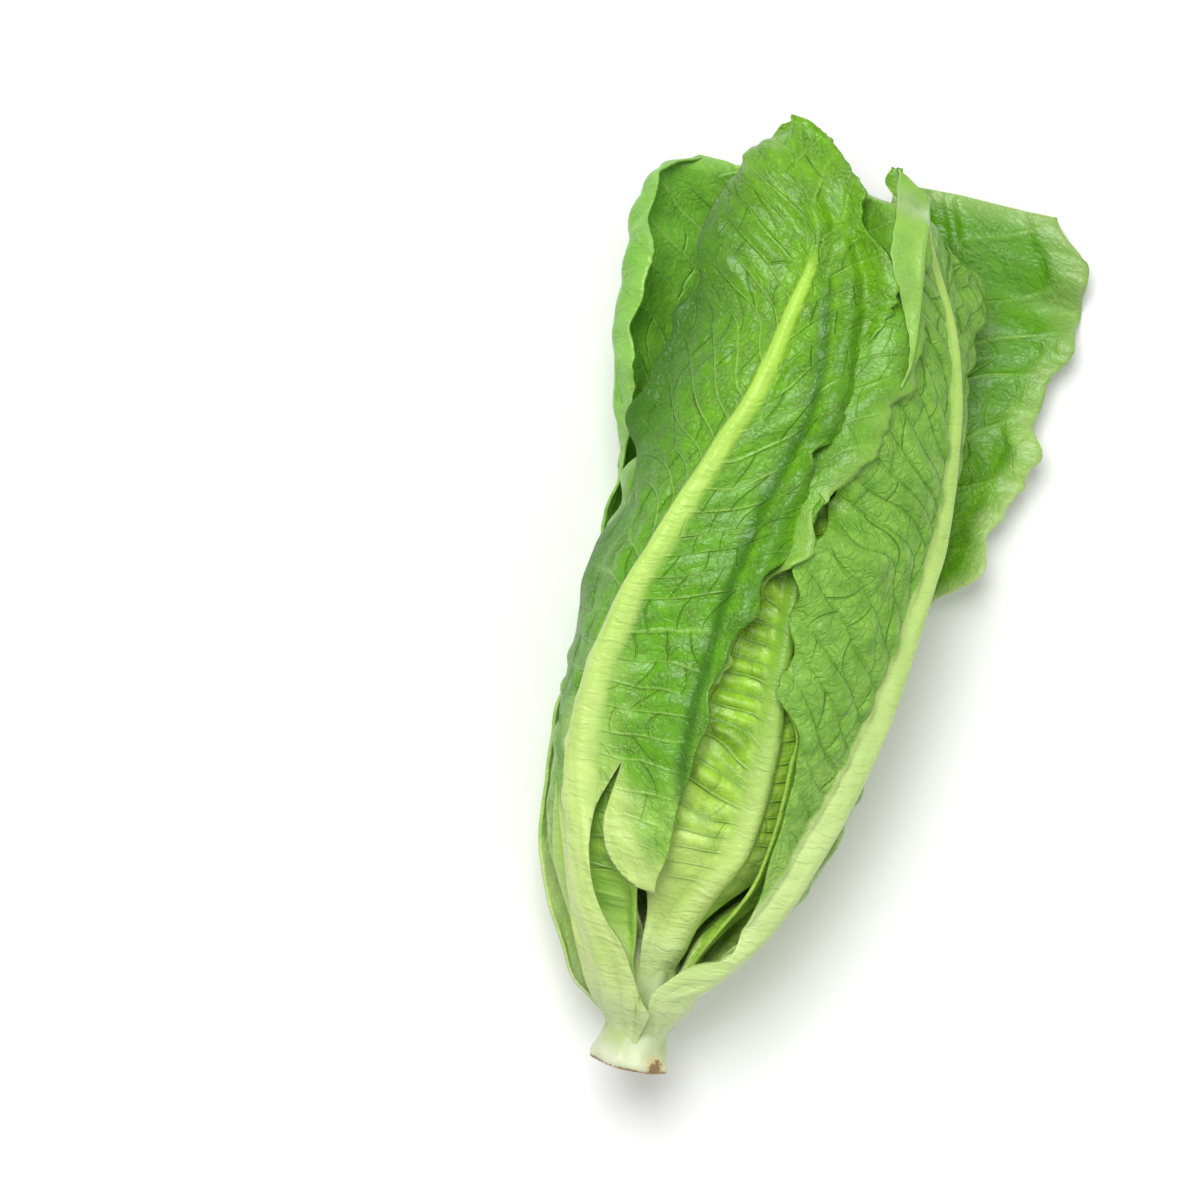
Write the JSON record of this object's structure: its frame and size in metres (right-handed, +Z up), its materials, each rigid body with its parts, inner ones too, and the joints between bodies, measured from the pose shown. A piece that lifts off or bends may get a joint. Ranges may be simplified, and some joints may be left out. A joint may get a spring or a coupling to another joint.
{
  "type": "romaine heart",
  "caption": "Trimmed romaine lettuce head lying on its side: cut stem and sixteen separate ribbed leaves wrapped round it.",
  "frame": {"origin": "under the middle of the head, on the surface that it lies on", "axes": "+Y along the head from the cut stem to the leaf tips, +Z up, +X to the right seen from above with the tips away"},
  "size_m": [0.126, 0.2612, 0.0765],
  "materials": {
    "stem_flesh": "moist pale flesh",
    "heart_leaf": "satin yellow-green leaf",
    "green_leaf": "satin green leaf"
  },
  "bodies": {
    "root": {"stem": "stem_flesh", "heart_leaf_1": "heart_leaf", "heart_leaf_2": "heart_leaf", "heart_leaf_3": "heart_leaf", "heart_leaf_4": "heart_leaf", "inner_leaf_under": "heart_leaf", "inner_leaf_left": "heart_leaf", "inner_leaf_front": "heart_leaf", "inner_leaf_back": "heart_leaf", "inner_leaf_right": "heart_leaf", "middle_leaf_left": "green_leaf", "middle_leaf_under": "green_leaf", "middle_leaf_front": "green_leaf", "outer_leaf_right": "green_leaf", "outer_leaf_under": "green_leaf", "outer_leaf_front": "green_leaf", "outer_leaf_spread": "green_leaf"}
  },
  "joints": []
}
